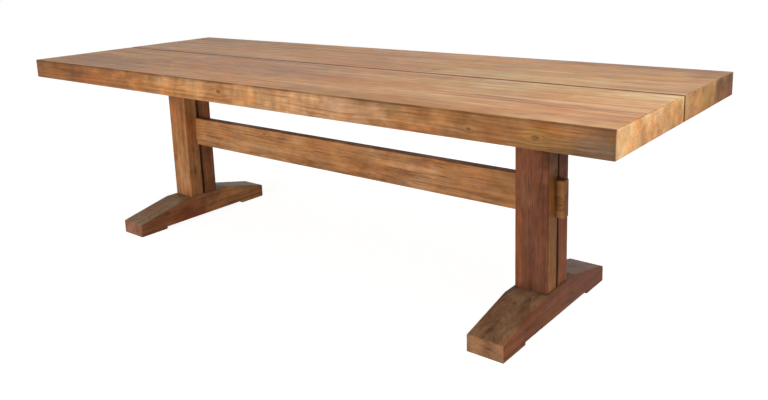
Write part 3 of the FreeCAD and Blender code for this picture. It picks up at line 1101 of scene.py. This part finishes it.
def foot_bmesh(node, settings):
    """A sled foot: its side outline extruded, with the two mortises for the posts."""
    low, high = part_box(node)
    side = node.split("_")[1]
    end, top = high.y, high.z
    bend = settings.foot_level / 2
    pad = end - settings.foot_pad
    relief = settings.foot_relief
    outline = [
        (-end, 0.0), (-pad, 0.0), (-pad, relief), (pad, relief), (pad, 0.0), (end, 0.0),
        (end, settings.foot_end_height), (bend, top), (-bend, top), (-end, settings.foot_end_height),
    ]
    bm = timber_from_outline(outline, low.x, high.x - low.x)
    slice_at(bm, Y, (-pad, -bend, bend, pad))
    slice_at(bm, Z, (relief,))
    room = settings.tenon_shoulder - settings.fit
    mouths = []
    for row in ROWS:
        post_low, post_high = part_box(f"post_{side}_{row}")
        mouth_low = Vector((post_low.x + room, post_low.y + room, top - ROW_TOUCH))
        mouth_high = Vector((post_high.x - room, post_high.y - room, top + ROW_TOUCH))
        slice_at(bm, Y, (mouth_low.y, mouth_high.y))
        slice_at(bm, X, (mouth_low.x, mouth_high.x))
        mouths.append((mouth_low, mouth_high))
    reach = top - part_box(f"post_{side}_front")[0].z + settings.mortise_gap
    for mouth_low, mouth_high in mouths:
        push(bm, faces_between(bm, mouth_low, mouth_high), Z * -reach)
    refine(bm, settings.grid, rise=FOOT_CUTS)
    centre = (low.x + high.x) / 2
    outer = []
    for edge in arrises(bm):
        middle = (edge.verts[0].co + edge.verts[1].co) / 2
        in_width = abs(middle.x - centre) < MOUTH_WIDTH * (high.x - low.x)
        if not (in_width and abs(middle.y) < MOUTH_LENGTH * bend):
            outer.append(edge)
    ease(bm, outer, settings.beam_round)
    return bm


FOOT_KNOTS = {
    "left": (
        ((-0.847, -0.215, 0.070), 0.008),
        ((-0.94, 0.22, 0.085), 0.009),
    ),
    "right": (
        ((0.940, -0.135, 0.106), 0.009),
        ((0.905, -0.165, 0.099), 0.006),
        ((0.977, 0.10, 0.05), 0.008),
    ),
}
LEFT_FOOT = (-0.912, 0.0, 0.05)
RIGHT_FOOT = (0.912, 0.0, 0.05)
FOOT_TINTS = {
    "left": ((LEFT_FOOT, EVERYWHERE, (0.89, 1.32, 1.55)),),
    "right": (
        (RIGHT_FOOT, EVERYWHERE, (0.66, 0.80, 0.84)),
        # Painted light in front of the post, lifting the shade there.
        ((0.912, -0.12, 0.108), (0.10, 0.06, 0.03), (1.26, 1.36, 1.42)),
    ),
}
FOOT_SIDE_TINTS = {
    "left": (
        (LEFT_FOOT, EVERYWHERE, (1.30, 0.79, 0.61)),
        # The next two: painted light and shade, the outer side brighter towards the far end and darker at
        # the near end.
        ((-0.847, 0.22, 0.05), (0.2, 0.30, 0.2), (1.50, 1.72, 1.60)),
        ((-0.847, -0.31, 0.03), (0.2, 0.10, 0.1), (0.76, 0.78, 0.84)),
    ),
    "right": ((RIGHT_FOOT, EVERYWHERE, (1.02, 0.60, 0.43)),),
}
FOOT_END_TINTS = {
    "left": ((LEFT_FOOT, EVERYWHERE, (1.00, 0.67, 0.72)),),
    "right": ((RIGHT_FOOT, EVERYWHERE, (1.44, 1.32, 1.28)),),
}
FOOT_DIRT_AND_SHADE = (0.4, 0.022)


def foot_dirt_and_shade(node):
    """Dirt and painted shade on a foot, round the pair of posts."""
    side = node.split("_")[1]
    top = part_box(node)[1].z
    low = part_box(f"post_{side}_front")[0]
    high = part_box(f"post_{side}_rear")[1]

    def dirt_and_shade_at(place):
        aside = max(low.x - place.x, place.x - high.x, 0.0)
        beyond = max(low.y - place.y, place.y - high.y, 0.0)
        return dirt_and_shade_falloff(math.hypot(aside, beyond, top - place.z), FOOT_DIRT_AND_SHADE)

    return dirt_and_shade_at


class TABLE_OT_feet(bpy.types.Operator):
    """Make the two sled feet"""

    bl_idname = "table.feet"
    bl_label = "Feet"

    def execute(self, context):
        settings = context.scene.table_timber
        tones = context.scene.table_foot_tones
        for seed, side in enumerate(SIDES, start=SEEDS["foot"]):
            node = "foot_" + side
            bm = foot_bmesh(node, settings)
            weather(bm, Y, seed, settings, foot_dirt_and_shade(node), kept=(-Z,))
            pith = (SIDES[side] * -0.9, -0.09)
            material = wood(
                side + "_foot_wood", tones, "Y", seed, pith, FOOT_KNOTS[side], FOOT_TINTS[side], X,
                FOOT_SIDE_TINTS[side], FOOT_END_TINTS[side], arris_wear_and_shade=0.2,
            )
            make_piece(side + "_foot", bm, material, node)
        return {"FINISHED"}


class TABLE_OT_bearers(bpy.types.Operator):
    """Finish the bearers and the batten under the top"""

    bl_idname = "table.bearers"
    bl_label = "Bearers and batten"

    def execute(self, context):
        tones = context.scene.table_foot_tones
        nodes = ("bearer_left", "bearer_right", "centre_batten")
        for seed, node in enumerate(nodes, start=SEEDS["bearer"]):
            dress_node(node, wood(node + "_wood", tones, "Y", seed, pith=(0.3, 0.55)))
        return {"FINISHED"}


class TABLE_OT_dowels(bpy.types.Operator):
    """Finish the dowels that pin the stretcher"""

    bl_idname = "table.dowels"
    bl_label = "Dowels"

    def execute(self, context):
        colour = context.scene.table_fitting_tones.dowel
        for seed, side in enumerate(SIDES, start=SEEDS["dowel"]):
            material = dowel_wood(side + "_dowel_wood", colour, seed)
            dress_node("stretcher_dowels_" + side, material)
        return {"FINISHED"}


class TABLE_OT_screws(bpy.types.Operator):
    """Finish the screws and washers that hold the planks down"""

    bl_idname = "table.screws"
    bl_label = "Screws and washers"

    def execute(self, context):
        tones = context.scene.table_fitting_tones
        screw_steel = steel("screw_steel", tones.steel, tones.dull, SEEDS["steel"])
        washer_steel = steel("washer_steel", tones.steel, tones.dull, SEEDS["steel"] + 1)
        for group in ("bearer_{}_left", "bearer_{}_right", "batten_{}"):
            dress_node(group.format("screws"), screw_steel)
            dress_node(group.format("washers"), washer_steel)
        return {"FINISHED"}


# Places and sizes of the lamps, and half the width of the floor, in metres.
KEY_PLACE = (2.7, -0.8, 3.5)
KEY_SIZE = 2.0
FILL_PLACE = (-0.2, -4.8, 1.3)
FILL_SIZE = 2.2
FLOOR_REACH = 30.0
# The seen floor's own white, the tone of its darker mottle, and the grey that takes the shadow.
SEEN_WHITE = 0.91
FLOOR_MOTTLE = 0.97
SHADOW_GREY = (0.35, 0.35, 0.35, 1.0)


def add_camera(scene, settings):
    """The camera at the photograph's place, with its frame shifted down."""
    data = bpy.data.cameras.new("camera")
    data.sensor_width = 36.0
    data.lens = settings.focal_pixels / PHOTO_WIDTH * data.sensor_width
    data.shift_y = (settings.axis_row - PHOTO_HEIGHT / 2) / PHOTO_WIDTH
    data.clip_end = 100.0
    matrix = Matrix.Translation(settings.eye)
    turns = (settings.heading, "Z"), (math.pi / 2 - settings.pitch, "X"), (-settings.roll, "Z")
    for angle, axis in turns:
        matrix = matrix @ Matrix.Rotation(angle, 4, axis)
    camera = bpy.data.objects.new("camera", data)
    camera.matrix_world = matrix
    scene.collection.objects.link(camera)
    scene.camera = camera


def add_softbox(scene, name, place, size, power):
    """A large square lamp that looks at the middle of the table."""
    middle = (cad_box[0] + cad_box[1]) / 2
    data = bpy.data.lights.new(name, "AREA")
    data.size = size
    data.energy = power
    lamp = bpy.data.objects.new(name, data)
    lamp.location = place
    lamp.rotation_euler = (middle - Vector(place)).to_track_quat("-Z", "Y").to_euler()
    scene.collection.objects.link(lamp)


def seen_directly(sheet):
    """One where a ray comes from the camera, a mirror or glass, nought where it carries light."""
    rays = sheet.add("ShaderNodeLightPath", {}).outputs
    seen = sheet.math("MAXIMUM", rays["Is Camera Ray"], rays["Is Glossy Ray"])
    return sheet.math("MAXIMUM", seen, rays["Is Transmission Ray"])


def floor_material(colour):
    """Pale floor: white with the table's shadow where it is seen, plain where it throws light back."""
    sheet = NodeSheet(bpy.data.materials.new("pale_floor"))
    mottle = sheet.noise(sheet.place(), scale=3.0)
    pale = sheet.mix(mottle, deeper(colour, FLOOR_MOTTLE), colour)
    plain = sheet.add("ShaderNodeBsdfDiffuse", {"Color": pale}).outputs["BSDF"]
    white = sheet.add("ShaderNodeEmission", {"Strength": SEEN_WHITE}).outputs["Emission"]
    shadowed = sheet.add("ShaderNodeBsdfDiffuse", {"Color": SHADOW_GREY}).outputs["BSDF"]
    lit = sheet.add("ShaderNodeAddShader", {0: white, 1: shadowed}).outputs["Shader"]
    choice = {0: seen_directly(sheet), 1: plain, 2: lit}
    both = sheet.add("ShaderNodeMixShader", choice).outputs["Shader"]
    sheet.add("ShaderNodeOutputMaterial", {"Surface": both})
    return sheet.owner


def add_floor(scene, colour):
    """A wide level floor."""
    bm = bmesh.new()
    bmesh.ops.create_grid(bm, x_segments=1, y_segments=1, size=FLOOR_REACH)
    mesh = bpy.data.meshes.new("floor")
    bm.to_mesh(mesh)
    bm.free()
    mesh.materials.append(floor_material(colour))
    floor = bpy.data.objects.new("floor", mesh)
    scene.collection.objects.link(floor)


def add_world(scene, ambient):
    """White where it is seen, and a weak light from all round."""
    scene.world = bpy.data.worlds.new("studio")
    sheet = NodeSheet(scene.world)
    strength = sheet.math("MAXIMUM", seen_directly(sheet), ambient)
    glow = {"Color": (1.0, 1.0, 1.0, 1.0), "Strength": strength}
    background = sheet.add("ShaderNodeBackground", glow).outputs["Background"]
    sheet.add("ShaderNodeOutputWorld", {"Surface": background})


class TABLE_OT_stage(bpy.types.Operator):
    """Set the pale floor, the soft lights and the camera"""

    bl_idname = "table.stage"
    bl_label = "Stage"

    def execute(self, context):
        scene = context.scene
        settings = scene.table_stage
        add_floor(scene, settings.floor)
        add_world(scene, settings.ambient)
        add_softbox(scene, "key", KEY_PLACE, KEY_SIZE, settings.key)
        add_softbox(scene, "fill", FILL_PLACE, FILL_SIZE, settings.fill)
        add_camera(scene, settings)
        scene.view_settings.view_transform = "Standard"
        return {"FINISHED"}


class TABLE_PT_panel(bpy.types.Panel):
    """Lists the pieces of the table"""

    bl_idname = "TABLE_PT_panel"
    bl_label = "Trestle dining table"
    bl_space_type = "VIEW_3D"
    bl_region_type = "UI"
    bl_category = "Table"

    def draw(self, context):
        for operator in OPERATORS:
            self.layout.operator(operator.bl_idname)


OPERATORS = (
    TABLE_OT_top_planks,
    TABLE_OT_stretcher,
    TABLE_OT_posts,
    TABLE_OT_feet,
    TABLE_OT_bearers,
    TABLE_OT_dowels,
    TABLE_OT_screws,
    TABLE_OT_stage,
)
SETTINGS = {
    "table_timber": TimberSettings,
    "table_plank_tones": PlankTones,
    "table_stretcher_tones": StretcherTones,
    "table_pale_tones": PaleBeamTones,
    "table_red_tones": RedBeamTones,
    "table_foot_tones": FootTones,
    "table_fitting_tones": FittingTones,
    "table_stage": StageSettings,
}
CLASSES = (*SETTINGS.values(), *OPERATORS, TABLE_PT_panel)
register_classes, unregister_classes = bpy.utils.register_classes_factory(CLASSES)


def register():
    """Registers the settings, the operators and the panel."""
    register_classes()
    for name, group in SETTINGS.items():
        setattr(bpy.types.Scene, name, PointerProperty(type=group))


def unregister():
    """Takes them away again."""
    for name in SETTINGS:
        delattr(bpy.types.Scene, name)
    unregister_classes()


def main():
    """Makes every piece in turn, then sets the stage."""
    register()
    bpy.ops.table.top_planks()
    bpy.ops.table.stretcher()
    bpy.ops.table.posts()
    bpy.ops.table.feet()
    bpy.ops.table.bearers()
    bpy.ops.table.dowels()
    bpy.ops.table.screws()
    bpy.ops.table.stage()


if __name__ == "__main__":
    main()
